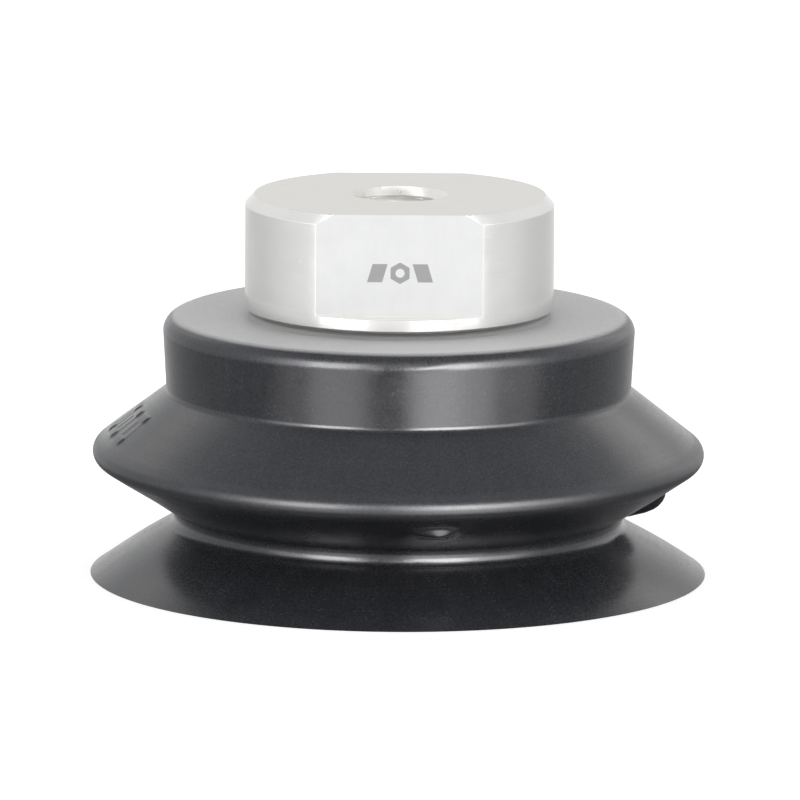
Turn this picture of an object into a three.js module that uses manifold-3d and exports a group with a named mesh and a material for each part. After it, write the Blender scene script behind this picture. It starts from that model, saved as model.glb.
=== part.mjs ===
// Vacuum suction cup: a one-and-a-half-fold rubber bellows clamped under a turned and milled
// aluminium connection head with a female G1/4 port.
// Millimetres, +Z up. The origin is the centre of the lip's sealing plane; the wrench flats
// face -Y and +Y. Profiles are (r, z) points turned about Z.
import * as THREE from "three";
import { mergeVertices } from "three/addons/utils/BufferGeometryUtils.js";
import Module from "manifold-3d";

const wasm = await Module();
wasm.setup();

// ---------------------------------------------------------------- shared dimensions
const RUBBER_TOP = 38.15;
const CLAMP_Z = 34.1; // underside of the clamped top wall; foot of the head, top of the plate
const SPIGOT_R = 17.0;
const SPIGOT_CLEARANCE = 0.25;
const RUBBER_BORE_R = SPIGOT_R + SPIGOT_CLEARANCE;
const HEAD_BOTTOM = 39.2; // underside of the head's rim, resting on the washer

const PLATE_T = 3.0;
const PLATE_BOTTOM = CLAMP_Z - PLATE_T;

const SCREW_COUNT = 4;
const SCREW_PITCH_R = 13.0;
const SCREW_R = 2.0; // M4
const SCREW_HOLE_R = 2.25;
const SCREW_PLACES = Array.from({ length: SCREW_COUNT }, (_, i) => {
  const angle = Math.PI / 4 + (i * 2 * Math.PI) / SCREW_COUNT;
  return [SCREW_PITCH_R * Math.cos(angle), SCREW_PITCH_R * Math.sin(angle)];
});

const OVERCUT = 1; // how far a cutter runs past an open face

// Facet counts of round parts
const RUBBER_FACETS = 64;
const TURNED_FACETS = 72;
const HOLE_FACETS = 20;
const SCREW_FACETS = 18;
const FILTER_FACETS = 40;
const RETAINER_FACETS = 48;

// ---------------------------------------------------------------- materials
const aluminium = new THREE.MeshStandardMaterial({
  color: 0xd9dadb, roughness: 0.35, metalness: 1,
});
const rubber = new THREE.MeshStandardMaterial({
  color: 0x1b1c1f, roughness: 0.5, metalness: 0,
});
const washerGrey = new THREE.MeshStandardMaterial({
  color: 0x55585c, roughness: 0.7, metalness: 0,
});
const screwSteel = new THREE.MeshStandardMaterial({
  color: 0x9a9c9f, roughness: 0.3, metalness: 1,
});
const springSteel = new THREE.MeshStandardMaterial({
  color: 0x6e6a66, roughness: 0.35, metalness: 1,
});
const meshSteel = new THREE.MeshStandardMaterial({
  color: 0xb4b5b6, roughness: 0.4, metalness: 1,
});

// ---------------------------------------------------------------- solids
const MERGE_TOLERANCE = 1e-4;

// A closed geometry as a manifold solid with its faces outward.
function solid(geometry) {
  const bare = new THREE.BufferGeometry();
  bare.setAttribute("position", geometry.getAttribute("position"));
  bare.setIndex(geometry.index);
  const merged = mergeVertices(bare, MERGE_TOLERANCE);
  const positions = merged.getAttribute("position");
  const index = merged.index.array;

  const triangles = [];
  let signedVolume = 0;
  const corners = [new THREE.Vector3(), new THREE.Vector3(), new THREE.Vector3()];
  for (let i = 0; i < index.length; i += 3) {
    const triangle = [index[i], index[i + 1], index[i + 2]];
    if (new Set(triangle).size < 3) continue; // collapsed on the axis
    corners.forEach((corner, k) => corner.fromBufferAttribute(positions, triangle[k]));
    signedVolume += corners[0].dot(corners[1].cross(corners[2])) / 6;
    triangles.push(triangle);
  }
  if (signedVolume < 0) {
    for (const triangle of triangles) {
      [triangle[1], triangle[2]] = [triangle[2], triangle[1]];
    }
  }
  return new wasm.Manifold(
    new wasm.Mesh({
      numProp: 3,
      vertProperties: new Float32Array(positions.array),
      triVerts: new Uint32Array(triangles.flat()),
    }),
  );
}

function toPoints(loop) {
  return loop.map(([x, y]) => new THREE.Vector2(x, y));
}

// A closed (r, z) loop turned about Z. The loop may use points on the axis.
function turn(loop, segments) {
  const points = toPoints(loop);
  if (THREE.ShapeUtils.area(points) < 0) points.reverse();
  points.push(points[0]);
  const geometry = new THREE.LatheGeometry(points, segments);
  geometry.rotateX(Math.PI / 2);
  return solid(geometry);
}

// A flat ring, or a disc where the inner radius is 0.
function flatRing(innerR, outerR, bottom, top, segments) {
  const loop = [[innerR, bottom], [outerR, bottom], [outerR, top], [innerR, top]];
  return turn(loop, segments);
}

function cylinder(radius, bottom, top, [x, y] = [0, 0], segments = HOLE_FACETS) {
  const geometry = new THREE.CylinderGeometry(radius, radius, top - bottom, segments);
  geometry.rotateX(Math.PI / 2);
  geometry.translate(x, y, (bottom + top) / 2);
  return solid(geometry);
}

// A box from its [low, high] range along each axis.
function box(...ranges) {
  const geometry = new THREE.BoxGeometry(...ranges.map(([low, high]) => high - low));
  geometry.translate(...ranges.map(([low, high]) => (low + high) / 2));
  return solid(geometry);
}

function extrude(loop, depth) {
  const shape = new THREE.Shape(toPoints(loop));
  return new THREE.ExtrudeGeometry(shape, { depth, bevelEnabled: false });
}

function drillScrewHoles(body, bottom, top) {
  return SCREW_PLACES.reduce(
    (drilled, place) => drilled.subtract(cylinder(SCREW_HOLE_R, bottom, top, place)),
    body,
  );
}

function namedMesh(name, body, material) {
  const { vertProperties, triVerts } = body.getMesh();
  const geometry = new THREE.BufferGeometry();
  const positions = new Float32Array(vertProperties);
  geometry.setAttribute("position", new THREE.BufferAttribute(positions, 3));
  geometry.setIndex(new THREE.BufferAttribute(new Uint32Array(triVerts), 1));
  geometry.computeVertexNormals();
  const mesh = new THREE.Mesh(geometry, material);
  mesh.name = name;
  return mesh;
}

// ---------------------------------------------------------------- connection head and washer
const HEAD_R = 45 / 2;
const FLAT_Y = 38 / 2; // half of the across-flats size
const HEAD_TOP = 56.0;
const LEDGE_Z = 41.16; // the flats stop here and leave a full-round rim
const HEAD_CHAMFER = 1.4;
const RIM_CHAMFER = 0.3;
const PORT_R = 5.72; // G1/4 minor radius
const COUNTERSINK_R = 6.85;
const PORT_DEPTH = 14.0;
const PORT_FLOOR_DROP = 0.6; // the port's floor slopes down this much to the passage
const PASSAGE_R = 4.5;
const HEAD_HOLE_DEPTH = 8.5;
const FLAT_OVERCUT = 5;
const WASHER_R = 22.0;

function connectionHead() {
  const portBottom = HEAD_TOP - PORT_DEPTH;
  let body = turn(
    [
      [PASSAGE_R, CLAMP_Z],
      [SPIGOT_R, CLAMP_Z],
      [SPIGOT_R, HEAD_BOTTOM],
      [HEAD_R - RIM_CHAMFER, HEAD_BOTTOM],
      [HEAD_R, HEAD_BOTTOM + RIM_CHAMFER],
      [HEAD_R, HEAD_TOP - HEAD_CHAMFER],
      [HEAD_R - HEAD_CHAMFER, HEAD_TOP],
      [COUNTERSINK_R, HEAD_TOP],
      [PORT_R, HEAD_TOP - (COUNTERSINK_R - PORT_R)],
      [PORT_R, portBottom],
      [PASSAGE_R, portBottom - PORT_FLOOR_DROP],
    ],
    TURNED_FACETS,
  );
  const reach = HEAD_R + FLAT_OVERCUT;
  const flatCutter = box([-reach, reach], [FLAT_Y, reach], [LEDGE_Z, HEAD_TOP + FLAT_OVERCUT]);
  for (const angle of [180, 0]) body = body.subtract(flatCutter.rotate([0, 0, angle]));
  body = drillScrewHoles(body, CLAMP_Z - OVERCUT, CLAMP_Z + HEAD_HOLE_DEPTH);
  return namedMesh("connection_head", body, aluminium);
}

function sealingWasher() {
  const body = flatRing(RUBBER_BORE_R, WASHER_R, RUBBER_TOP, HEAD_BOTTOM, TURNED_FACETS);
  return namedMesh("sealing_washer", body, washerGrey);
}

// ---------------------------------------------------------------- support plate
const PLATE_R = 29.2;
const PLATE_TOP_CHAMFER = 0.5;
const PLATE_BOTTOM_CHAMFER = 0.8;
const PLATE_HOLE_R = 7.0;
const FILTER_RECESS_R = 9.0;
const FILTER_RECESS_TOP = PLATE_BOTTOM + 1.6;
const GROOVE_R = 9.45;
const GROOVE_BOTTOM = PLATE_BOTTOM + 0.25;
const GROOVE_TOP = PLATE_BOTTOM + 0.95;

// The recess for the filter opens downward and has a groove for the retaining ring.
function supportPlate() {
  const body = turn(
    [
      [PLATE_HOLE_R, CLAMP_Z],
      [PLATE_R - PLATE_TOP_CHAMFER, CLAMP_Z],
      [PLATE_R, CLAMP_Z - PLATE_TOP_CHAMFER],
      [PLATE_R, PLATE_BOTTOM + PLATE_BOTTOM_CHAMFER],
      [PLATE_R - PLATE_BOTTOM_CHAMFER, PLATE_BOTTOM],
      [FILTER_RECESS_R, PLATE_BOTTOM],
      [FILTER_RECESS_R, GROOVE_BOTTOM],
      [GROOVE_R, GROOVE_BOTTOM],
      [GROOVE_R, GROOVE_TOP],
      [FILTER_RECESS_R, GROOVE_TOP],
      [FILTER_RECESS_R, FILTER_RECESS_TOP],
      [PLATE_HOLE_R, FILTER_RECESS_TOP],
    ],
    TURNED_FACETS,
  );
  const drilled = drillScrewHoles(body, PLATE_BOTTOM - OVERCUT, CLAMP_Z + OVERCUT);
  return namedMesh("support_plate", drilled, aluminium);
}

// ---------------------------------------------------------------- clamp screws
const SCREW_LENGTH = 10.0;
const SCREW_TIP_CHAMFER = 0.5;
const SCREW_HEAD_R = 3.8;
const SCREW_HEAD_H = 2.2;
const SCREW_FACE_R = SCREW_HEAD_R - 1.5; // flat face around the socket
const SCREW_SHOULDER_R = SCREW_HEAD_R - 0.4; // where the head's slope steepens
const SCREW_SHOULDER_H = 0.9; // above the face
const SCREW_HEAD_RIM = 0.3; // height of the upright edge under the plate
const SOCKET_ACROSS_FLATS = 2.5;
const SOCKET_DEPTH = 1.4;

function clampScrew([x, y], number) {
  const headFace = PLATE_BOTTOM - SCREW_HEAD_H;
  const tip = PLATE_BOTTOM + SCREW_LENGTH;
  const body = turn(
    [
      [0, headFace],
      [SCREW_FACE_R, headFace],
      [SCREW_SHOULDER_R, headFace + SCREW_SHOULDER_H],
      [SCREW_HEAD_R, PLATE_BOTTOM - SCREW_HEAD_RIM],
      [SCREW_HEAD_R, PLATE_BOTTOM],
      [SCREW_R, PLATE_BOTTOM],
      [SCREW_R, tip - SCREW_TIP_CHAMFER],
      [SCREW_R - SCREW_TIP_CHAMFER, tip],
      [0, tip],
    ],
    SCREW_FACETS,
  );
  const socketR = SOCKET_ACROSS_FLATS / Math.sqrt(3);
  const socket = cylinder(socketR, headFace - OVERCUT, headFace + SOCKET_DEPTH, [0, 0], 6);
  const mesh = namedMesh(`clamp_screw_${number}`, body.subtract(socket), screwSteel);
  mesh.position.set(x, y, 0);
  return mesh;
}

// ---------------------------------------------------------------- filter
const FILTER_R = FILTER_RECESS_R - 0.2;
const FILTER_T = 0.5;
const AXIAL_PLAY = 0.05; // of the screen under the recess top and of the ring in its groove
const RETAINER_R = GROOVE_R - 0.15;
const RETAINER_WIDTH = 1.75;
const RETAINER_GAP_HALF = 1.6;
const GAP_CUT_Y = [5, 12]; // crosses the ring on its +Y side only
const GAP_CUT_Z = [PLATE_BOTTOM - OVERCUT, PLATE_BOTTOM + 2];

function filterScreen() {
  const top = FILTER_RECESS_TOP - AXIAL_PLAY;
  const body = flatRing(0, FILTER_R, top - FILTER_T, top, FILTER_FACETS);
  return namedMesh("filter_screen", body, meshSteel);
}

function filterRetainingRing() {
  const ring = flatRing(
    RETAINER_R - RETAINER_WIDTH,
    RETAINER_R,
    GROOVE_BOTTOM + AXIAL_PLAY,
    GROOVE_TOP - AXIAL_PLAY,
    RETAINER_FACETS,
  );
  const gap = box([-RETAINER_GAP_HALF, RETAINER_GAP_HALF], GAP_CUT_Y, GAP_CUT_Z);
  return namedMesh("filter_retaining_ring", ring.subtract(gap), springSteel);
}

// ---------------------------------------------------------------- bellows wall
const COLLAR_TOP_R = 34.27;
const COLLAR_INNER_R = 30.0;
const LIP_LAND = 1.0; // width of the flat sealing ring
const WALL = 2.2;
const FILLET_CHORDS = 3;

// Sharp outer corners (r, z), before their fillets
const COLLAR_FOOT = [33.89, 27.19];
const CREST = [45.53, 17.87];
const WAIST = [31.36, 8.24];
const LIP = [44.9, 0];

// A polyline of [r, z, fillet radius] corners with each fillet drawn as an arc of chords.
function filleted(corners) {
  const pointAt = (i) => new THREE.Vector2(corners[i][0], corners[i][1]);
  return corners.flatMap(([r, z, radius], i) => {
    if (!radius) return [[r, z]];
    const here = pointAt(i);
    const before = pointAt(i - 1).sub(here).normalize();
    const after = pointAt(i + 1).sub(here).normalize();
    const halfAngle = Math.acos(before.dot(after)) / 2;
    const centre = before.clone().add(after).normalize();
    centre.multiplyScalar(radius / Math.sin(halfAngle)).add(here);

    // Angle about the centre of the point where the arc meets a side
    const tangentAngle = (side) => {
      const tangent = side.clone().multiplyScalar(radius / Math.tan(halfAngle));
      tangent.add(here).sub(centre);
      return Math.atan2(tangent.y, tangent.x);
    };
    const start = tangentAngle(before);
    let sweep = tangentAngle(after) - start;
    if (sweep > Math.PI) sweep -= 2 * Math.PI;
    if (sweep < -Math.PI) sweep += 2 * Math.PI;
    return Array.from({ length: FILLET_CHORDS + 1 }, (_, k) => {
      const angle = start + (sweep * k) / FILLET_CHORDS;
      return [centre.x + radius * Math.cos(angle), centre.y + radius * Math.sin(angle)];
    });
  });
}

// The line between two outer corners, moved one wall thickness into the rubber.
// Going down the outside, that is to the right of the direction of travel.
function innerLine(from, to) {
  const direction = new THREE.Vector2(to[0] - from[0], to[1] - from[1]).normalize();
  const inward = new THREE.Vector2(direction.y, -direction.x);
  return { start: new THREE.Vector2(...from).addScaledVector(inward, WALL), direction };
}

// Where the inner faces on either side of an outer corner meet.
function innerCorner(before, here, after) {
  const first = innerLine(before, here);
  const second = innerLine(here, after);
  const between = second.start.clone().sub(first.start);
  const distance = between.cross(second.direction) / first.direction.cross(second.direction);
  return first.start.addScaledVector(first.direction, distance).toArray();
}

function wallProfile() {
  const outer = filleted([
    [RUBBER_BORE_R, RUBBER_TOP],
    [COLLAR_TOP_R, RUBBER_TOP, 1.5],
    [...COLLAR_FOOT, 1.0],
    [...CREST, 1.37],
    [...WAIST, 0.83],
    LIP,
  ]);
  const innerCrest = innerCorner(COLLAR_FOOT, CREST, WAIST);
  const innerWaist = innerCorner(CREST, WAIST, LIP);
  const upperConeSlope = (COLLAR_FOOT[1] - CREST[1]) / (COLLAR_FOOT[0] - CREST[0]);
  const innerFootZ = innerCrest[1] + (COLLAR_INNER_R - innerCrest[0]) * upperConeSlope;
  const inner = filleted([
    [LIP[0] - LIP_LAND, LIP[1]],
    [...innerWaist, 2.0],
    [...innerCrest, 1.0],
    [COLLAR_INNER_R, innerFootZ, 1.5],
    [COLLAR_INNER_R, CLAMP_Z],
    [RUBBER_BORE_R, CLAMP_Z],
  ]);
  return [...outer, ...inner];
}

// ---------------------------------------------------------------- gripping lugs
// Short rounded ribs that stand out of the underside of the fold and run into the waist.
const LUG_IN = 33.0;
const LUG_OUT = 39.4;
const LUG_HALF_WIDTH = 3.0;
const LUG_END_R = 8.0; // rounding of a lug's outer end, seen from above
const LUG_END_STEPS = 6; // on each side of the lug's centre line
const LUG_PLAN_MARGIN = 2; // the plan outline starts this far inside the lug
const LUG_PLAN_HEIGHT = 30; // any height above the lug's top
const LUG_ANGLES = [3.0, -83.8]; // degrees from +X about +Z

// Side view of a lug: r, z
const LUG_PROFILE = [
  [LUG_IN, 10.4], [LUG_IN, 8.9], [33.6, 8.45], [34.9, 8.75],
  [36.4, 9.12], [37.6, 9.63], [38.4, 10.2], [38.95, 10.85],
  [39.25, 11.5], [LUG_OUT, 12.2], [39.1, 14.2],
];

// A prism over the lug's outline seen from above, its outer end a shallow parabola.
function lugPlanPrism() {
  const rootX = LUG_IN - LUG_PLAN_MARGIN;
  const outline = [[rootX, -LUG_HALF_WIDTH]];
  for (let i = -LUG_END_STEPS; i <= LUG_END_STEPS; i++) {
    const y = (LUG_HALF_WIDTH * i) / LUG_END_STEPS;
    outline.push([LUG_OUT - (y * y) / (2 * LUG_END_R), y]);
  }
  outline.push([rootX, LUG_HALF_WIDTH]);
  return solid(extrude(outline, LUG_PLAN_HEIGHT));
}

// A lug along +X, from its side view.
function lugRib(profile) {
  const bar = extrude(profile, 2 * LUG_HALF_WIDTH);
  bar.rotateX(Math.PI / 2);
  bar.translate(0, LUG_HALF_WIDTH, 0);
  return solid(bar).intersect(lugPlanPrism());
}

// ---------------------------------------------------------------- bellows rings
// One moulding, kept as seven rings so that each stage of the bellows can move: the collar,
// the crest, the waist and the lip edge are stiff; the cones between them flex.
// Name, height of the lower cut; each ring starts where the one above ends.
const RINGS = [
  ["bellows_collar", 26.6],
  ["bellows_upper_cone", 20.6],
  ["bellows_crest", 15.6],
  ["bellows_under_cone", 10.6],
  ["bellows_waist", 6.2],
  ["bellows_lip_cone", 2.3],
  ["sealing_lip", -OVERCUT],
];

// The part of a loop on the kept side of a level.
function clip(loop, isKept, level) {
  return loop.flatMap((point, i) => {
    const next = loop[(i + 1) % loop.length];
    const out = isKept(point[1]) ? [point] : [];
    if (isKept(point[1]) !== isKept(next[1])) {
      const fraction = (level - point[1]) / (next[1] - point[1]);
      out.push([point[0] + fraction * (next[0] - point[0]), level]);
    }
    return out;
  });
}

// The part of a loop between two heights.
function slab(loop, bottom, top) {
  return clip(clip(loop, (z) => z >= bottom, bottom), (z) => z <= top, top);
}

function bellowsRing(name, wall, bottom, top) {
  let body = turn(slab(wall, bottom, top), RUBBER_FACETS);
  const lugSection = slab(LUG_PROFILE, bottom, top);
  if (lugSection.length > 0) {
    const rib = lugRib(lugSection);
    for (const angle of LUG_ANGLES) body = body.add(rib.rotate([0, 0, angle]));
  }
  return namedMesh(name, body, rubber);
}

// ---------------------------------------------------------------- assembly
function metalParts() {
  return new THREE.Group().add(
    connectionHead(),
    sealingWasher(),
    supportPlate(),
    ...SCREW_PLACES.map((place, i) => clampScrew(place, i + 1)),
    filterScreen(),
    filterRetainingRing(),
  );
}

function bellows() {
  const group = new THREE.Group();
  const wall = wallProfile();
  let top = RUBBER_TOP + OVERCUT;
  for (const [name, bottom] of RINGS) {
    group.add(bellowsRing(name, wall, bottom, top));
    top = bottom;
  }
  return group;
}

const cup = new THREE.Group();
cup.add(metalParts(), bellows());

export default cup;
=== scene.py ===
import math

import bmesh
import bpy
import numpy as np
from mathutils import Matrix, Quaternion, Vector

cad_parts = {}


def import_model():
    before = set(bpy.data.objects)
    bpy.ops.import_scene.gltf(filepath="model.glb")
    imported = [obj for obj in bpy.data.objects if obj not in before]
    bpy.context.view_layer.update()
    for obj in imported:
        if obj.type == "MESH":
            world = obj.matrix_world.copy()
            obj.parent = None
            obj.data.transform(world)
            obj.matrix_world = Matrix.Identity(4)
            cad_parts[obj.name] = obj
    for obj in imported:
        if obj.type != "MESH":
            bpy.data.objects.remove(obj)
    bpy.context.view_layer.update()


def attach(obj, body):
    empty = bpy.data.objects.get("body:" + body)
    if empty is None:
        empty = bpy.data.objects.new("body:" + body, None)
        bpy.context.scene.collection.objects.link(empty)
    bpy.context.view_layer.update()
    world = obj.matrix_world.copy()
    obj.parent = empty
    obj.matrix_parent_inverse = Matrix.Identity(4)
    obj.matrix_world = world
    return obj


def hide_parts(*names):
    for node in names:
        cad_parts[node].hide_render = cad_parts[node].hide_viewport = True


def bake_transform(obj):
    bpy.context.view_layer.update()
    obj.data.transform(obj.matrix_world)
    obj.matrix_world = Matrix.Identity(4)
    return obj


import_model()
MM = 0.001

# ------------------------------------------------------------------ dimensions, in millimetres (same frame as the CAD)
HEAD_R, FLAT_Y, HEAD_TOP, HEAD_BOTTOM, LEDGE_Z = 22.5, 19.0, 56.0, 39.2, 41.16
RUBBER_TOP, WALL_BOTTOM, BORE_R = 38.15, 34.1, 17.25
SPIGOT_R, PASSAGE_R = 17.0, 4.5
THREAD_MINOR, THREAD_MAJOR, PITCH = 5.7225, 6.5785, 1.337
COUNTERSINK_R = 6.85
CREST_Z, WAIST_Z = 17.87, 8.24
PLATE_T, PLATE_R = 3.0, 29.2
PLATE_Z = WALL_BOTTOM - PLATE_T
FILTER_R, GROOVE_R = 9.0, 9.45
SCREW_PCR = 13.0


# ------------------------------------------------------------------ profiles
def arc_path(corners, max_turn=6.0):
    """[(r, z, fillet)] as a polyline whose fillets are arcs of at most max_turn degrees a chord."""
    out = []
    n = len(corners)
    for i, c in enumerate(corners):
        p = np.array(c[:2], float)
        f = c[2] if len(c) > 2 else 0.0
        if not f or i in (0, n - 1):
            out.append(p)
            continue
        a = np.array(corners[i - 1][:2], float) - p
        b = np.array(corners[i + 1][:2], float) - p
        a /= np.linalg.norm(a)
        b /= np.linalg.norm(b)
        half = math.acos(float(np.clip(a @ b, -1, 1))) / 2
        mid = (a + b) / np.linalg.norm(a + b)
        centre = p + mid * f / math.sin(half)
        s = p + a * f / math.tan(half) - centre
        e = p + b * f / math.tan(half) - centre
        t0 = math.atan2(s[1], s[0])
        sweep = (math.atan2(e[1], e[0]) - t0 + math.pi) % (2 * math.pi) - math.pi
        steps = max(2, int(math.ceil(abs(math.degrees(sweep)) / max_turn)))
        for k in range(steps + 1):
            t = t0 + sweep * k / steps
            out.append(centre + f * np.array([math.cos(t), math.sin(t)]))
    return np.array(out)


def closed_fillets(corners, max_turn=12.0):
    """The same for a closed loop."""
    wrapped = [corners[-1]] + list(corners) + [corners[0]]
    return arc_path(wrapped, max_turn)[1:-1]


def refine(points, step, closed=False):
    """No segment longer than step (a number, or a function of its midpoint)."""
    out = []
    pairs = list(zip(points[:-1], points[1:]))
    if closed:
        pairs.append((points[-1], points[0]))
    for p, q in pairs:
        length = float(np.linalg.norm(q - p))
        s = step((p + q) / 2) if callable(step) else step
        k = max(1, int(math.ceil(length / s)))
        for i in range(k):
            out.append(p + (q - p) * i / k)
    if not closed:
        out.append(points[-1])
    return np.array(out)


def slab(loop, z0, z1):
    """The part of a closed loop between two heights."""

    def clip(points, inside, level):
        out = []
        for i, p in enumerate(points):
            q = points[(i + 1) % len(points)]
            if inside(p):
                out.append(p)
            if inside(p) != inside(q):
                t = (level - p[1]) / (q[1] - p[1])
                out.append(np.array([p[0] + t * (q[0] - p[0]), level]))
        return out

    return np.array(clip(clip(list(loop), lambda p: p[1] >= z0, z0), lambda p: p[1] <= z1, z1))


def tidy(loop, eps=1e-4):
    kept = [loop[0]]
    for p in loop[1:]:
        if np.linalg.norm(p - kept[-1]) > eps:
            kept.append(p)
    if np.linalg.norm(kept[0] - kept[-1]) <= eps:
        kept.pop()
    return np.array(kept)


def loop_area(loop):
    nxt = np.roll(loop, -1, axis=0)
    return float(np.sum(loop[:, 0] * nxt[:, 1] - nxt[:, 0] * loop[:, 1]) / 2)


def normals_of(loop):
    """Outward unit normals of a counter-clockwise (r, z) loop, by averaging its two segments."""
    seg = np.roll(loop, -1, axis=0) - loop
    seg /= np.linalg.norm(seg, axis=1)[:, None] + 1e-12
    n = np.stack([seg[:, 1], -seg[:, 0]], axis=1)
    m = n + np.roll(n, 1, axis=0)
    return m / (np.linalg.norm(m, axis=1)[:, None] + 1e-12)


# ------------------------------------------------------------------ meshes
def angles(n, zones=()):
    """n even steps of a full turn, with finer steps inside zones of (centre, half width, step), all in degrees."""
    base = [i * 360.0 / n for i in range(n)]
    extra = []
    for centre, half, step in zones:
        k = int(round(2 * half / step))
        extra += [(centre - half + 2 * half * i / k) % 360.0 for i in range(k + 1)]
        base = [b for b in base if abs((b - centre + 180) % 360 - 180) > half + step * 0.5]
    allowed = sorted(base + extra)
    out = [allowed[0]]
    for a in allowed[1:]:
        if a - out[-1] > 0.02:
            out.append(a)
    return np.radians(np.array(out))


def lathe_arrays(loop, th, field=None):
    """Vertices (mm) and faces of a closed (r, z) loop turned about Z, faces outward."""
    loop = tidy(np.array(loop, float))
    if loop_area(loop) < 0:
        loop = loop[::-1]
    nrm = normals_of(loop)
    r, z = loop[:, 0][:, None], loop[:, 1][:, None]
    nr, nz = nrm[:, 0][:, None], nrm[:, 1][:, None]
    t = th[None, :]
    rr = np.repeat(r, len(th), 1)
    zz = np.repeat(z, len(th), 1)
    if field is not None:
        d_r, d_z = field(rr, zz, np.repeat(t, len(loop), 0), np.repeat(nr, len(th), 1), np.repeat(nz, len(th), 1))
        rr, zz = rr + d_r, zz + d_z
    verts = np.stack([rr * np.cos(t), rr * np.sin(t), zz], axis=2).reshape(-1, 3)
    n, m = len(loop), len(th)
    i = np.arange(n)[:, None]
    j = np.arange(m)[None, :]
    i2, j2 = (i + 1) % n, (j + 1) % m
    faces = np.stack(np.broadcast_arrays(i * m + j, i * m + j2, i2 * m + j2, i2 * m + j), axis=2).reshape(-1, 4)
    return verts, faces


def make(name, verts_mm, faces, sharp=32.0):
    mesh = bpy.data.meshes.new(name)
    mesh.from_pydata((np.asarray(verts_mm) * MM).tolist(), [], np.asarray(faces).tolist() if not isinstance(faces, list) else faces)
    mesh.validate(verbose=False)
    obj = bpy.data.objects.new(name, mesh)
    bpy.context.scene.collection.objects.link(obj)
    clean(obj)
    smooth(obj, sharp)
    return obj


def clean(obj, dist=2e-7):
    bm = bmesh.new()
    bm.from_mesh(obj.data)
    bmesh.ops.remove_doubles(bm, verts=bm.verts, dist=dist)
    bmesh.ops.dissolve_degenerate(bm, dist=1e-8, edges=bm.edges)
    loose = [v for v in bm.verts if not v.link_faces]
    if loose:
        bmesh.ops.delete(bm, geom=loose, context="VERTS")
    bm.to_mesh(obj.data)
    bm.free()


def smooth(obj, sharp=32.0):
    obj.data.polygons.foreach_set("use_smooth", [True] * len(obj.data.polygons))
    obj.data.set_sharp_from_angle(angle=math.radians(sharp))
    obj.data.update()


def weighted(obj, sharp=32.0):
    """Shades large faces flat and keeps the turn on the small bevels between them."""
    smooth(obj, sharp)
    mod = obj.modifiers.new("weighted", "WEIGHTED_NORMAL")
    mod.mode, mod.weight, mod.keep_sharp = "FACE_AREA", 100, True
    bpy.context.view_layer.update()
    dg = bpy.context.evaluated_depsgraph_get()
    me = bpy.data.meshes.new_from_object(obj.evaluated_get(dg), depsgraph=dg)
    obj.modifiers.clear()
    old = obj.data
    obj.data = me
    bpy.data.meshes.remove(old)


def lathe(name, loop, th, field=None, sharp=32.0):
    return make(name, *lathe_arrays(loop, th, field), sharp=sharp)


def prism(points_xy, z0, z1):
    """Vertices and faces of an upright prism (mm), faces outward for a counter-clockwise outline."""
    n = len(points_xy)
    verts = [(x, y, z0) for x, y in points_xy] + [(x, y, z1) for x, y in points_xy]
    faces = [list(range(n))[::-1], [n + i for i in range(n)]]
    faces += [[i, (i + 1) % n, n + (i + 1) % n, n + i] for i in range(n)]
    return verts, faces


def circle(r, n, x=0.0, y=0.0, turn=0.0):
    return [(x + r * math.cos(2 * math.pi * i / n + turn), y + r * math.sin(2 * math.pi * i / n + turn)) for i in range(n)]


def cut(obj, cutters, solver="EXACT"):
    """Subtracts closed meshes, each given as (verts_mm, faces)."""
    tools = []
    for k, (v, f) in enumerate(cutters):
        me = bpy.data.meshes.new("cutter")
        me.from_pydata([tuple(c * MM for c in p) for p in v], [], [list(q) for q in f])
        o = bpy.data.objects.new("cutter", me)
        bpy.context.scene.collection.objects.link(o)
        tools.append(o)
        mod = obj.modifiers.new("cut%d" % k, "BOOLEAN")
        mod.operation, mod.solver, mod.object = "DIFFERENCE", solver, o
    bpy.context.view_layer.update()
    dg = bpy.context.evaluated_depsgraph_get()
    me = bpy.data.meshes.new_from_object(obj.evaluated_get(dg), depsgraph=dg)
    obj.modifiers.clear()
    old = obj.data
    obj.data = me
    bpy.data.meshes.remove(old)
    for o in tools:
        data = o.data
        bpy.data.objects.remove(o)
        bpy.data.meshes.remove(data)
    clean(obj)


def bevel_where(obj, test, offset_mm, segments=2, min_angle=22.0):
    """Rounds the edges whose faces meet at more than min_angle and whose midpoint (mm) passes test."""
    bm = bmesh.new()
    bm.from_mesh(obj.data)
    bm.normal_update()
    chosen = []
    for e in bm.edges:
        if len(e.link_faces) != 2:
            continue
        if math.degrees(e.calc_face_angle(0.0)) < min_angle:
            continue
        mid = (e.verts[0].co + e.verts[1].co) / 2 / MM
        if test(mid):
            chosen.append(e)
    if chosen:
        bmesh.ops.bevel(bm, geom=chosen, offset=offset_mm * MM, segments=segments, profile=0.5, affect="EDGES", clamp_overlap=True)
    bm.to_mesh(obj.data)
    bm.free()


def smoothstep(x, a, b):
    t = np.clip((x - a) / (b - a), 0.0, 1.0)
    return t * t * (3 - 2 * t)


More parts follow.
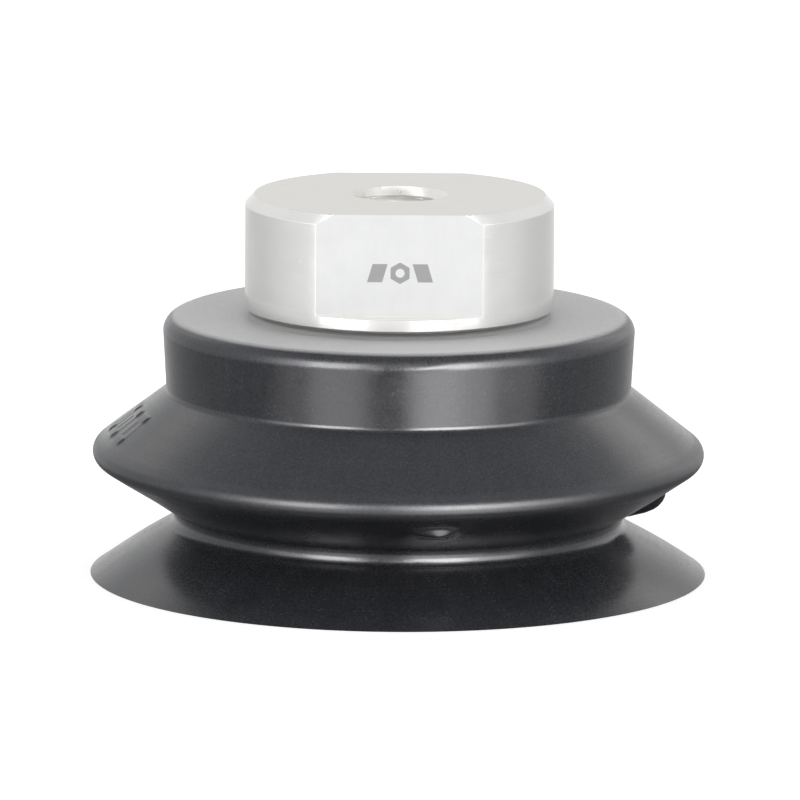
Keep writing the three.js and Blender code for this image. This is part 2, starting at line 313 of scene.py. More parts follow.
# ------------------------------------------------------------------ node helpers
class Ex:
    """A value in a node tree, with arithmetic that adds Math nodes."""

    def __init__(self, nt, s):
        self.nt, self.s = nt, s

    def _op(self, op, *others, clamp=False):
        n = self.nt.nodes.new("ShaderNodeMath")
        n.operation = op
        n.use_clamp = clamp
        for k, v in enumerate((self,) + others):
            if isinstance(v, Ex):
                self.nt.links.new(v.s, n.inputs[k])
            else:
                n.inputs[k].default_value = float(v)
        return Ex(self.nt, n.outputs[0])

    def __add__(self, o): return self._op("ADD", o)
    __radd__ = __add__
    def __mul__(self, o): return self._op("MULTIPLY", o)
    __rmul__ = __mul__
    def __sub__(self, o): return self._op("SUBTRACT", o)
    def __rsub__(self, o): return (self * -1.0) + o
    def __truediv__(self, o): return self._op("DIVIDE", o)
    def __neg__(self): return self * -1.0
    def abs(self): return self._op("ABSOLUTE")
    def sqrt(self): return self._op("SQRT")
    def max(self, o): return self._op("MAXIMUM", o)
    def min(self, o): return self._op("MINIMUM", o)
    def gt(self, o): return self._op("GREATER_THAN", o)
    def pow(self, o): return self._op("POWER", o)
    def atan2(self, o): return self._op("ARCTAN2", o)
    def clamp01(self): return self._op("ADD", 0.0, clamp=True)

    def ramp(self, a, b):
        """Smooth 0 to 1 as the value goes from a to b (either way round)."""
        n = self.nt.nodes.new("ShaderNodeMapRange")
        n.interpolation_type = "SMOOTHSTEP"
        self.nt.links.new(self.s, n.inputs["Value"])
        lo, hi, t0, t1 = (a, b, 0.0, 1.0) if a < b else (b, a, 1.0, 0.0)
        n.inputs["From Min"].default_value = lo
        n.inputs["From Max"].default_value = hi
        n.inputs["To Min"].default_value = t0
        n.inputs["To Max"].default_value = t1
        return Ex(self.nt, n.outputs[0])


def mix(nt, t, a, b):
    """a + t (b - a) for plain values."""
    if not isinstance(a, Ex) and not isinstance(b, Ex):
        return t * (b - a) + a
    if not isinstance(b, Ex):
        return a + (t * (b - a))
    return a + t * (b - a)


def colour_mix(nt, t, a, b):
    n = nt.nodes.new("ShaderNodeMix")
    n.data_type = "RGBA"
    nt.links.new(t.s, n.inputs["Factor"])
    for name, v in (("A", a), ("B", b)):
        sock = [s for s in n.inputs if s.name == name and s.type == "RGBA"][0]
        if isinstance(v, Ex):
            nt.links.new(v.s, sock)
        else:
            sock.default_value = (*v, 1.0)
    return Ex(nt, [s for s in n.outputs if s.type == "RGBA"][0])


def xyz_mm(nt):
    """Object coordinates in millimetres as three values and the vector's socket."""
    tc = nt.nodes.new("ShaderNodeTexCoord")
    sc = nt.nodes.new("ShaderNodeVectorMath")
    sc.operation = "SCALE"
    sc.inputs["Scale"].default_value = 1000.0
    nt.links.new(tc.outputs["Object"], sc.inputs[0])
    sp = nt.nodes.new("ShaderNodeSeparateXYZ")
    nt.links.new(sc.outputs[0], sp.inputs[0])
    return Ex(nt, sp.outputs[0]), Ex(nt, sp.outputs[1]), Ex(nt, sp.outputs[2]), sc.outputs[0]


def vec(nt, x, y, z):
    n = nt.nodes.new("ShaderNodeCombineXYZ")
    for k, v in enumerate((x, y, z)):
        if isinstance(v, Ex):
            nt.links.new(v.s, n.inputs[k])
        else:
            n.inputs[k].default_value = float(v)
    return n.outputs[0]


def noise(nt, vector, scale, detail=2.0, rough=0.5, dims="3D", w=0.0):
    n = nt.nodes.new("ShaderNodeTexNoise")
    n.noise_dimensions = dims
    n.inputs["Scale"].default_value = scale
    n.inputs["Detail"].default_value = detail
    n.inputs["Roughness"].default_value = rough
    if dims == "1D":
        nt.links.new(vector.s, n.inputs["W"])
    else:
        nt.links.new(vector, n.inputs["Vector"])
    return Ex(nt, n.outputs[0])


def voronoi(nt, vector, scale, feature="F1"):
    n = nt.nodes.new("ShaderNodeTexVoronoi")
    n.feature = feature
    n.inputs["Scale"].default_value = scale
    nt.links.new(vector, n.inputs["Vector"])
    return Ex(nt, n.outputs["Distance"]), n.outputs["Color"]


def bump(nt, height, distance_mm, strength=1.0, chain=None):
    n = nt.nodes.new("ShaderNodeBump")
    n.inputs["Distance"].default_value = distance_mm * MM
    n.inputs["Strength"].default_value = strength
    nt.links.new(height.s, n.inputs["Height"])
    if chain is not None:
        nt.links.new(chain, n.inputs["Normal"])
    return n.outputs[0]


def new_material(name, metallic=0.0, base=(0.5, 0.5, 0.5), rough=0.5):
    m = bpy.data.materials.new(name)
    m.use_nodes = True
    nt = m.node_tree
    b = nt.nodes["Principled BSDF"]
    b.inputs["Metallic"].default_value = metallic
    b.inputs["Base Color"].default_value = (*base, 1.0)
    b.inputs["Roughness"].default_value = rough
    m.diffuse_color = (*base, 1.0)
    return m, nt, b


def set_in(nt, bsdf, name, ex):
    nt.links.new(ex.s if isinstance(ex, Ex) else ex, bsdf.inputs[name])


# ------------------------------------------------------------------ materials
def rubber_material():
    m, nt, b = new_material("moulded_rubber", 0.0, (0.030, 0.0305, 0.033), 0.34)
    x, y, z, v = xyz_mm(nt)
    grain = noise(nt, v, 2.2, 1.0, 0.4)
    fine = noise(nt, v, 2.9, 1.5, 0.5)
    mottle = noise(nt, v, 0.22, 4.0, 0.55)
    cloud = noise(nt, v, 0.06, 2.0, 0.5)
    theta = y.atan2(x)
    # faint flow streaks that run down the mould, and rubbed bands that run round it
    streak = noise(nt, vec(nt, theta * 22.0, z * 0.10, 0.0), 1.0, 3.0, 0.6)
    band = noise(nt, vec(nt, theta * 0.8, z * 1.4, (x * x + y * y).sqrt() * 1.4), 1.0, 2.0, 0.5)
    # dust: a few pale specks
    dist, col = voronoi(nt, v, 0.55)
    sep = nt.nodes.new("ShaderNodeSeparateColor")
    nt.links.new(col, sep.inputs[0])
    rare = Ex(nt, sep.outputs[0]).gt(0.996)
    size = Ex(nt, sep.outputs[1]) * 0.09 + 0.03
    speck = (size - dist).ramp(-0.02, 0.03) * rare
    tone = (mottle - 0.5) * 0.5 + (cloud - 0.5) * 0.5 + (streak - 0.5) * 0.35 + (fine - 0.5) * 2.8 + 0.5
    base = colour_mix(nt, tone.clamp01(), (0.0140, 0.0150, 0.0185), (0.0350, 0.0368, 0.0430))
    base = colour_mix(nt, speck * 0.5, base, (0.30, 0.29, 0.27))
    # the moulded top face is duller than the rest; its grey colour is a painted reflection of the white set seen at a
    # grazing angle, and its sheen is stronger towards the front
    top_face = (z + (mottle - 0.5) * 0.08).ramp(37.72, 38.10)
    top_reflection_tone = colour_mix(nt, (tone + (fine - 0.5) * 0.5).clamp01(), (0.27, 0.271, 0.276), (0.37, 0.371, 0.374))
    radius = (x * x + y * y).sqrt()
    facing = (x * 0.208 - y * 0.978) / radius
    ahead = facing.ramp(0.55, 0.99)
    # painted highlight: the top face is paler still at the front, towards the lights
    top_reflection_tone = colour_mix(nt, facing.ramp(0.88, 0.995) * 0.30, top_reflection_tone, (0.60, 0.60, 0.60))
    base = colour_mix(nt, top_face, base, top_reflection_tone)
    # painted light: the lip is a little paler towards its bottom edge, standing in for light from below
    base = colour_mix(nt, z.ramp(7.2, 6.2) * 0.07, base, (0.10, 0.101, 0.104))
    set_in(nt, b, "Base Color", base)
    # the underside of the fold is duller, except on the soft lug
    from_lug = ((x - 5.9) * (x - 5.9) + (y + 40.0) * (y + 40.0) + (z - 14.0) * (z - 14.0)).sqrt()
    under = z.ramp(8.8, 10.0) * z.ramp(16.2, 14.8) * radius.ramp(31.5, 33.0) * from_lug.ramp(3.0, 5.5)
    set_in(nt, b, "Specular IOR Level", under * -0.26 + 0.5)
    rough = (grain - 0.5) * 0.08 + (mottle - 0.5) * 0.12 + (band - 0.5) * 0.08 + (streak - 0.5) * 0.08 + (fine - 0.5) * 0.06 + 0.245
    # the mould's parting line leaves the crest of the fold a little duller, and so is the collar's rounded edge
    rough = rough + (z - CREST_Z).abs().ramp(3.0, 1.0) * radius.ramp(42.5, 43.5) * 0.12 + z.ramp(35.4, 36.4) * 0.05
    set_in(nt, b, "Roughness", (rough + speck * 0.3 + top_face * 0.2).clamp01())
    n1 = bump(nt, mottle * 0.7 + band * 0.3, 0.030, 0.7)
    n2 = bump(nt, grain, 0.005, 0.8, n1)
    set_in(nt, b, "Normal", n2)
    b.inputs["IOR"].default_value = 1.5
    b.inputs["Specular Tint"].default_value = (0.955, 0.985, 1.045, 1.0)
    set_in(nt, b, "Sheen Weight", top_face * (ahead * 0.20 + 0.80))
    b.inputs["Sheen Roughness"].default_value = 0.4
    return m


def aluminium_material(name, kind):
    m, nt, b = new_material(name, 1.0, (0.905, 0.905, 0.90), 0.3)
    x, y, z, v = xyz_mm(nt)
    r = (x * x + y * y).sqrt()
    theta = y.atan2(x)
    wobble = noise(nt, v, 0.12, 2.0, 0.5)
    if kind == "turned":
        along = z + wobble * 0.05
        lines = noise(nt, vec(nt, theta * 0.5, 0.0, along * 9.0), 1.0, 3.0, 0.7)
        coarse = noise(nt, vec(nt, theta * 0.15, 0.0, along * 1.6), 1.0, 2.0, 0.5)
    elif kind == "faced":
        along = r + wobble * 0.05
        lines = noise(nt, vec(nt, theta * 0.4, 0.0, along * 8.0), 1.0, 3.0, 0.7)
        coarse = noise(nt, vec(nt, theta * 0.1, 0.0, along * 1.2), 1.0, 2.0, 0.5)
    elif kind == "milled":
        u = x * 0.05 + z * 1.0 + wobble * 0.1
        lines = noise(nt, vec(nt, x * 0.12, 0.0, u * 7.0), 1.0, 3.0, 0.7)
        coarse = noise(nt, vec(nt, x * 0.9, 0.0, z * 0.2), 1.0, 2.0, 0.5)
    else:
        lines = noise(nt, v, 2.5, 3.0, 0.6)
        coarse = noise(nt, v, 0.5, 2.0, 0.5)
    mottle = noise(nt, v, 0.35, 3.0, 0.55)
    tone = (lines - 0.5) * 0.35 + (coarse - 0.5) * 0.35 + (mottle - 0.5) * 0.5 + 0.5
    low, high = ((0.70, 0.698, 0.69), (0.78, 0.778, 0.77))
    if kind == "milled":
        low, high = ((0.66, 0.662, 0.665), (0.75, 0.752, 0.755))
    if kind == "faced":
        low, high = ((0.620, 0.612, 0.585), (0.705, 0.695, 0.665))
    # painted light: the bore is paler and partly non-metallic so that it shows the brightness of the light it
    # reflects; the ledge shares its paler colour
    if kind in ("bore", "ledge"):
        low, high = ((0.84, 0.83, 0.80), (0.96, 0.95, 0.92))
    if kind == "bore":
        b.inputs["Metallic"].default_value = 0.35
    grit = noise(nt, v, 5.0, 2.0, 0.6)
    base = colour_mix(nt, (tone + (grit - 0.5) * 0.9).clamp01(), low, high)
    rough0 = {"turned": 0.24, "faced": 0.30, "milled": 0.32, "bore": 0.30, "ledge": 0.30}[kind]
    rough = (lines - 0.5) * 0.10 + (mottle - 0.5) * 0.10 + rough0
    if kind == "milled":
        # a plain pictogram, marked in grey on the front flat: a hexagon nut with a solid bar each side
        px, pz = x - 0.1, z - 47.5
        hexd = px.abs().max(px.abs() * 0.5 + pz.abs() * 0.8660254)
        ring = (px * px + pz * pz).sqrt()
        nut = hexd.ramp(1.40, 1.34) * ring.ramp(0.62, 0.68)
        lean = (px.abs() + pz * 0.30)
        bar = lean.ramp(2.16, 2.22) * lean.ramp(4.40, 4.34) * pz.abs().ramp(1.36, 1.30)
        front = y.ramp(-18.0, -18.5)
        mark = nut.max(bar) * front
        base = colour_mix(nt, mark * 0.95, base, (0.335, 0.335, 0.34))
        rough = rough + mark * 0.22
    set_in(nt, b, "Base Color", base)
    set_in(nt, b, "Roughness", rough.clamp01())
    # a few bright nicks
    dist, col = voronoi(nt, v, 0.42)
    sep = nt.nodes.new("ShaderNodeSeparateColor")
    nt.links.new(col, sep.inputs[0])
    nick = (0.05 - dist).ramp(-0.02, 0.02) * Ex(nt, sep.outputs[0]).gt(0.85)
    soft = kind == "milled"
    n1 = bump(nt, coarse, 0.001 if soft else 0.004, 0.5)
    n2 = bump(nt, lines, 0.0012 if soft else 0.0035, 0.6, n1)
    n3 = bump(nt, nick, 0.03, 0.6, n2)
    set_in(nt, b, "Normal", n3)
    return m


def washer_material():
    m, nt, b = new_material("fibre_washer", 0.0, (0.11, 0.115, 0.12), 0.6)
    x, y, z, v = xyz_mm(nt)
    fleck = noise(nt, v, 4.0, 4.0, 0.7)
    soft = noise(nt, v, 0.5, 2.0, 0.5)
    base = colour_mix(nt, ((fleck - 0.5) * 0.9 + (soft - 0.5) * 0.5 + 0.5).clamp01(), (0.20, 0.203, 0.207), (0.30, 0.302, 0.306))
    # painted shade: the washer is darker up under the head's rim and paler at its lower edge
    base = colour_mix(nt, z.ramp(38.85, 38.5), base, (0.40, 0.40, 0.395))
    set_in(nt, b, "Base Color", base)
    set_in(nt, b, "Roughness", ((fleck - 0.5) * 0.3 + 0.62).clamp01())
    set_in(nt, b, "Normal", bump(nt, fleck, 0.02, 0.6))
    return m


def steel_material(name, base, rough0, scale=5.0):
    m, nt, b = new_material(name, 1.0, base, rough0)
    x, y, z, v = xyz_mm(nt)
    fine = noise(nt, v, scale, 3.0, 0.6)
    soft = noise(nt, v, 0.6, 2.0, 0.5)
    lo = tuple(c * 0.86 for c in base)
    hi = tuple(min(1.0, c * 1.10) for c in base)
    set_in(nt, b, "Base Color", colour_mix(nt, ((fine - 0.5) * 0.6 + (soft - 0.5) * 0.8 + 0.5).clamp01(), lo, hi))
    set_in(nt, b, "Roughness", ((fine - 0.5) * 0.16 + (soft - 0.5) * 0.14 + rough0).clamp01())
    set_in(nt, b, "Normal", bump(nt, fine, 0.004, 0.6))
    return m


RUBBER = rubber_material()
ALU_TURNED = aluminium_material("aluminium_turned", "turned")
ALU_FACED = aluminium_material("aluminium_faced", "faced")
ALU_MILLED = aluminium_material("aluminium_milled", "milled")
ALU_BORE = aluminium_material("aluminium_bore", "bore")
ALU_LEDGE = aluminium_material("aluminium_ledge", "ledge")
ALU_PLATE = aluminium_material("aluminium_plate", "faced")
WASHER = washer_material()
SCREW = steel_material("stainless_screw", (0.58, 0.58, 0.59), 0.30)
MESHWIRE = steel_material("stainless_wire", (0.62, 0.62, 0.62), 0.32, 8.0)
SPRING = steel_material("spring_steel", (0.30, 0.285, 0.27), 0.34)


# ------------------------------------------------------------------ bellows: one wall profile, turned as three pieces
COLLAR_TOP = (34.50, RUBBER_TOP)
COLLAR_FOOT = (33.89, 27.19)
CREST = (45.70, 17.86)
WAIST = (31.20, 8.10)
LIP = (44.9, 0.0)
WALL = 2.2


def offset_corner(before, here, after, t1, t2):
    def line(p, q, t):
        d = np.array(q, float) - np.array(p, float)
        d /= np.linalg.norm(d)
        return np.array(p, float) + np.array([d[1], -d[0]]) * t, d

    a, da = line(before, here, t1)
    b, db = line(here, after, t2)
    s = np.linalg.solve(np.array([[da[0], -db[0]], [da[1], -db[1]]]), b - a)
    return a + da * s[0]


inner_crest = offset_corner(COLLAR_FOOT, CREST, WAIST, WALL, WALL)
inner_waist = offset_corner(CREST, WAIST, LIP, WALL, WALL)
COLLAR_IN = 30.0
inner_foot = np.array([COLLAR_IN, inner_crest[1] + (COLLAR_IN - inner_crest[0]) * (COLLAR_FOOT[1] - CREST[1]) / (COLLAR_FOOT[0] - CREST[0])])

# the lip's outer cone is slightly convex
lip_cone = []
for k in range(1, 12):
    t = k / 12
    p = np.array(WAIST) * (1 - t) + np.array(LIP) * t
    d = np.array(LIP) - np.array(WAIST)
    n = np.array([-d[1], d[0]]) / np.linalg.norm(d)
    lip_cone.append(tuple(p + n * 0.33 * 4 * t * (1 - t)))

outer = arc_path(
    [(BORE_R, RUBBER_TOP, 0.0), (BORE_R + 0.4, RUBBER_TOP), (*COLLAR_TOP, 2.3), (*COLLAR_FOOT, 1.0), (*CREST, 1.6), (*WAIST, 1.55)]
    + lip_cone
    + [(LIP[0], 0.0 + 0.02, 0.0)],
    3.0,
)
inner = arc_path(
    [
        (LIP[0] - 0.12, 0.0),
        (LIP[0] - 1.0, 0.0, 0.15),
        (*inner_waist, 2.0),
        (*inner_crest, 1.0),
        (*inner_foot, 1.5),
        (COLLAR_IN, WALL_BOTTOM, 0.8),
        (BORE_R, WALL_BOTTOM),
    ],
    5.0,
)
wall = np.vstack([outer, inner])


def wall_step(p):
    r, z = p
    if 7.6 < z < 15.6 and r > 31.4 and (z - WAIST[1]) < (r - WAIST[0]) * 0.70 + 0.5 and (z - WAIST[1]) > -(r - WAIST[0]) * 0.2:
        return 0.15  # under the fold, where the lugs stand
    if 20.4 < z < 24.8 and abs(z - (COLLAR_FOOT[1] - 0.785 * (r - COLLAR_FOOT[0]))) < 0.9:
        return 0.20  # moulded marks
    if 34.9 < z < 37.0 and r > 34.0:
        return 0.10  # flow line under the collar's edge
    return 0.8


wall = refine(refine(wall, 0.8, closed=True), wall_step, closed=True)

SOFT_S = np.linspace(6.0, 13.4, 75)
SOFT_H = 1.15 * np.exp(-0.5 * ((SOFT_S - 11.1) / np.where(SOFT_S > 11.1, 0.60, 1.8)) ** 2) * smoothstep(SOFT_S, 6.0, 8.0) * smoothstep(-SOFT_S, -13.4, -12.6)
MARKS = 186.0
LUG_S = np.array([0.0, 0.6, 1.78, 3.05, 4.66, 5.94, 6.87, 7.70, 8.29, 8.75, 9.02, 9.22, 9.40, 9.60, 9.85])
LUG_H = np.array([0.0, 0.45, 1.01, 1.46, 2.10, 2.36, 2.33, 2.09, 1.74, 1.30, 0.90, 0.50, 0.22, 0.06, 0.0])
# azimuth (degrees from +X), half width to either side (mm), rounding of its end, side fall-off, height along it
LUGS = [(3.0, (2.9, 2.9), 15.0, (3.0, 0.75), (LUG_S, LUG_H)), (-81.6, (5.8, 4.3), 60.0, (2.0, 3.0), (SOFT_S, SOFT_H))]


def wall_field(r, z, t, nr, nz):
    deg = np.degrees(t)
    d_r = np.zeros_like(r)
    d_z = np.zeros_like(r)
    under = smoothstep(-nz, 0.0, 0.5) * ((nr > 0.15) & (r > 31.2) & (z > 7.6) & (z < 17.0))
    # lugs on the underside of the fold
    along = (r - WAIST[0]) * 0.8272 + (z - WAIST[1]) * 0.5619
    for az, half, rounding, (pw, pg), (rise_s, rise_h) in LUGS:
        across = ((deg - az + 180) % 360 - 180) * math.pi / 180 * r
        u = np.clip(np.abs(across) / np.where(across < 0, half[0], half[1]), 0, 1)
        g = (1 - u**pw) ** pg
        h = np.interp(along + across**2 / rounding, rise_s, rise_h) * g * smoothstep(along, 0.8, 2.6)
        h = h * under
        d_r += 0.5619 * h
        d_z += -0.8272 * h
    # moulded marks on the upper cone: three plain raised frames
    top = (nz > 0.5) & (nr > 0.3) & (r > 36.5) & (r < 43.5) & (z > 19.0)
    arc = ((deg - MARKS + 180) % 360 - 180) * math.pi / 180 * 39.6
    bars = np.zeros_like(r)
    for r0, r1, tall, spans in (
        (37.7, 41.9, 0.07, ((-6.9, -5.9), (-4.7, -3.7), (-2.2, -1.2), (0.2, 1.2), (3.0, 4.0), (5.6, 6.6))),
        (37.4, 38.5, 0.24, ((-6.9, -3.7), (-2.2, 1.2), (3.0, 6.6))),
        (41.1, 42.2, 0.24, ((-6.9, -3.7), (-2.2, 1.2), (3.0, 6.6))),
    ):
        inside_r = smoothstep(r, r0 - 0.28, r0 + 0.28) * smoothstep(-r, -r1 - 0.28, -r1 + 0.28)
        for a0, a1 in spans:
            bars = np.maximum(bars, tall * inside_r * smoothstep(arc, a0 - 0.28, a0 + 0.28) * smoothstep(-arc, -a1 - 0.28, -a1 + 0.28))
    h = np.where(top, bars, 0.0)
    d_r += nr * h
    d_z += nz * h
    # a low flow swelling just under the collar's top edge, at the front
    side = (nr > 0.70) & (z > 34.2) & (r > 33.5)
    phi = (deg + 90 + 180) % 360 - 180
    path = 35.95 + 0.0024 * np.maximum(phi + 3.0, 0.0) ** 2
    swelling = np.exp(-(((z - path) / 0.55) ** 2)) * smoothstep(phi, -8.0, -2.5) * smoothstep(-phi, -15.5, -5.0)
    d_r += np.where(side, swelling * 0.12, 0.0)
    # the fold hangs a touch lower at the front and to the right
    hang = smoothstep(z, 8.6, 15.5) * smoothstep(-z, -26.5, -19.5)
    d_z += hang * (0.50 * np.sin(t) - 0.14 * np.cos(t))
    # and the waist leans up to the left
    lean = smoothstep(z, 0.6, 6.5) * smoothstep(-z, -16.8, -11.5)
    d_z += lean * (0.10 - 0.24 * np.cos(t))
    # slow out-of-round and sag that a soft moulding has
    out = smoothstep(-z, -26.0, -14.0)
    wave = 0.05 * np.sin(2 * t + 0.7) + 0.03 * np.sin(3 * t + 2.1) + 0.02 * np.sin(5 * t + 4.0)
    d_r += wave * out
    return d_r, d_z


ZONES = [(3.0, 6.5, 0.16), (277.2, 7.8, 0.16), (MARKS, 12.5, 0.22)]
TH = angles(320, ZONES)
TH_UP = angles(320, [(MARKS, 12.5, 0.2), (276.5, 13.5, 0.35)])
pieces = {}
loop_a = slab(wall, CREST_Z, 100.0)
loop_b = slab(wall, WAIST_Z, CREST_Z)
loop_c = slab(wall, -1.0, WAIST_Z)
upper = lathe("bellows_upper", loop_a, TH_UP, wall_field, 35.0)
middle = lathe("bellows_fold", loop_b, angles(320, [(3.0, 6.5, 0.16), (277.2, 7.8, 0.16)]), wall_field, 35.0)
lower = lathe("bellows_lip", loop_c, angles(320), wall_field, 35.0)
for o in (upper, middle, lower):
    o.data.materials.append(RUBBER)
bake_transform(upper)
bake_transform(middle)
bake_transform(lower)
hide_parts("bellows_collar", "bellows_upper_cone")
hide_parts("bellows_crest", "bellows_under_cone")
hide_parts("bellows_waist", "bellows_lip_cone", "sealing_lip")


# ------------------------------------------------------------------ connection head
def thread_r(z, t, minor, major, pitch, hand=1.0):
    u = (z / pitch - hand * t / (2 * math.pi)) % 1.0
    tri = 1 - np.abs(2 * u - 1)
    tri = np.clip(tri * 1.22 - 0.11, 0, 1)
    return minor + (major - minor) * (tri * tri * (3 - 2 * tri) * 0.55 + tri * 0.45)


PORT_BOTTOM = HEAD_TOP - 14.0
outline = arc_path(
    [
        (PASSAGE_R, PORT_BOTTOM - 1.6),
        (PASSAGE_R, WALL_BOTTOM + 0.4),
        (PASSAGE_R + 0.4, WALL_BOTTOM),
        (SPIGOT_R - 0.4, WALL_BOTTOM),
        (SPIGOT_R, WALL_BOTTOM + 0.4),
        (SPIGOT_R, HEAD_BOTTOM, 0.2),
        (HEAD_R - 0.28, HEAD_BOTTOM, 0.06),
        (HEAD_R, HEAD_BOTTOM + 0.32, 0.1),
        (HEAD_R, HEAD_TOP - 1.45, 0.0),
        (HEAD_R - 1.3, HEAD_TOP, 0.0),
        (COUNTERSINK_R + 0.06, HEAD_TOP, 0.05),
        (COUNTERSINK_R - 1.1, HEAD_TOP - 1.25),
    ],
    20.0,
)
steps = np.arange(HEAD_TOP - 1.3, PORT_BOTTOM, -PITCH / 13)
bore = np.array([(THREAD_MINOR, zz) for zz in steps] + [(THREAD_MINOR, PORT_BOTTOM), (THREAD_MINOR - 0.1, PORT_BOTTOM - 0.3)])
head_loop = np.vstack([outline, bore])


def head_field(r, z, t, nr, nz):
    in_bore = (r < COUNTERSINK_R + 0.2) & (z > PORT_BOTTOM + 0.2)
    fade = smoothstep(z, PORT_BOTTOM + 0.6, PORT_BOTTOM + 2.2)
    thread = thread_r(z, t, THREAD_MINOR, THREAD_MAJOR, PITCH)
    target = THREAD_MINOR + (thread - THREAD_MINOR) * fade
    cone = COUNTERSINK_R - (HEAD_TOP - z) * 0.88
    target = np.maximum(target, cone)
    moving = in_bore & (z < HEAD_TOP - 0.2)
    return np.where(moving, target - r, 0.0), np.zeros_like(z)


head = lathe("connection_head_fine", head_loop, angles(192), head_field, 30.0)
BIG = 40.0
screw_xy = [
    (SCREW_PCR * math.cos(math.pi / 4 + i * math.pi / 2), SCREW_PCR * math.sin(math.pi / 4 + i * math.pi / 2)) for i in range(4)
]
cutters = [
    prism([(-BIG, -BIG), (BIG, -BIG), (BIG, -FLAT_Y), (-BIG, -FLAT_Y)], LEDGE_Z, HEAD_TOP + 5),
    prism([(-BIG, FLAT_Y), (BIG, FLAT_Y), (BIG, BIG), (-BIG, BIG)], LEDGE_Z, HEAD_TOP + 5),
]
for sx, sy in screw_xy:
    cutters.append(prism(circle(2.05, 32, sx, sy), WALL_BOTTOM - 1, WALL_BOTTOM + 8.5))
cut(head, cutters)


def head_edges(p):
    r = math.hypot(p.x, p.y)
    if p.z < LEDGE_Z - 0.3 or r < 15:
        return False
    return True


bevel_where(head, head_edges, 0.045, 2, 22.0)
clean(head)
weighted(head, 30.0)
for m in (ALU_TURNED, ALU_FACED, ALU_MILLED, ALU_BORE, ALU_LEDGE):
    head.data.materials.append(m)
for p in head.data.polygons:
    c = p.center / MM
    r = math.hypot(c.x, c.y)
    if r < COUNTERSINK_R + 0.02:
        p.material_index = 3
    elif abs(p.normal.y) > 0.98 and abs(c.y) > FLAT_Y - 0.1 and c.z > LEDGE_Z - 0.1:
        p.material_index = 2
    elif abs(p.normal.z) > 0.9:
        p.material_index = 4 if abs(c.z - LEDGE_Z) < 0.3 else 1
    else:
        p.material_index = 0
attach(head, "head")
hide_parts("connection_head")

washer = lathe(
    "sealing_washer_fine",
    closed_fillets(
        [(BORE_R, RUBBER_TOP, 0.1), (22.0, RUBBER_TOP), (21.65, HEAD_BOTTOM, 0.25), (BORE_R, HEAD_BOTTOM, 0.1)], 15.0
    ),
    angles(256),
    None,
    40.0,
)
washer.data.materials.append(WASHER)
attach(washer, "head")
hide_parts("sealing_washer")

# ------------------------------------------------------------------ support plate, screws, filter, ring
plate = lathe(
    "support_plate_fine",
    closed_fillets(
        [
            (7.0, PLATE_Z + PLATE_T, 0.15),
            (PLATE_R, PLATE_Z + PLATE_T, 0.5),
            (PLATE_R, PLATE_Z, 0.9),
            (FILTER_R, PLATE_Z, 0.12),
            (FILTER_R, PLATE_Z + 0.25),
            (GROOVE_R, PLATE_Z + 0.25, 0.08),
            (GROOVE_R, PLATE_Z + 0.95, 0.08),
            (FILTER_R, PLATE_Z + 0.95),
            (FILTER_R, PLATE_Z + 1.6, 0.1),
            (7.0, PLATE_Z + 1.6, 0.15),
        ],
        18.0,
    ),
    angles(192),
    None,
    30.0,
)
cut(plate, [prism(circle(2.25, 32, sx, sy), PLATE_Z - 1, PLATE_Z + PLATE_T + 1) for sx, sy in screw_xy])
smooth(plate, 30.0)
plate.data.materials.append(ALU_PLATE)
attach(plate, "head")
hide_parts("support_plate")

zb = PLATE_Z
head_dome = arc_path([(0.0, zb - 2.2), (2.2, zb - 2.2, 0.15), (3.25, zb - 1.35, 1.2), (3.8, zb - 0.35, 0.15), (3.8, zb - 0.02, 0.02), (2.05, zb - 0.02)], 12.0)
shank_z = np.arange(zb + 0.1, zb + 9.4, 0.7 / 9)
shank = np.array([(1.9, q) for q in shank_z])
screw_loop = np.vstack([head_dome, [(1.98, zb + 0.02)], shank, [(1.45, zb + 9.9), (0.0, zb + 9.9)]])


def screw_field(r, z, t, nr, nz):
    shaft = (r > 1.85) & (r < 1.95) & (z > zb + 0.2) & (z < zb + 9.7)
    target = thread_r(z, t, 1.62, 1.99, 0.7)
    return np.where(shaft, target - r, 0.0), np.zeros_like(z)


screw_v, screw_f = lathe_arrays(screw_loop, angles(40), screw_field)
for k, (sx, sy) in enumerate(screw_xy):
    o = make("clamp_screw_%d_fine" % (k + 1), screw_v, screw_f, 30.0)
    cut(o, [prism(circle(2.5 / math.sqrt(3), 6, 0, 0, 0.3 + 0.9 * k), zb - 3.2, zb - 0.8)])
    smooth(o, 30.0)
    o.data.transform(Matrix.Translation((sx * MM, sy * MM, 0)))
    o.data.materials.append(SCREW)
    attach(o, "head")
    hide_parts("clamp_screw_%d" % (k + 1))


def wire(points, radius, sides=6):
    """A tube along a polyline (mm), with end caps."""
    pts = np.array(points, float)
    tan = np.gradient(pts, axis=0)
    tan /= np.linalg.norm(tan, axis=1)[:, None]
    up = np.array([0, 0, 1.0])
    side = np.cross(tan, up)
    side /= np.linalg.norm(side, axis=1)[:, None]
    nrm = np.cross(side, tan)
    ring = [2 * math.pi * i / sides for i in range(sides)]
    verts = np.concatenate([pts + radius * (math.cos(a) * side + math.sin(a) * nrm) for a in ring]).reshape(sides, len(pts), 3)
    verts = verts.transpose(1, 0, 2).reshape(-1, 3)
    n = len(pts)
    faces = [[i * sides + j, i * sides + (j + 1) % sides, (i + 1) * sides + (j + 1) % sides, (i + 1) * sides + j] for i in range(n - 1) for j in range(sides)]
    faces.append([j for j in range(sides)][::-1])
    faces.append([(n - 1) * sides + j for j in range(sides)])
    return verts, faces


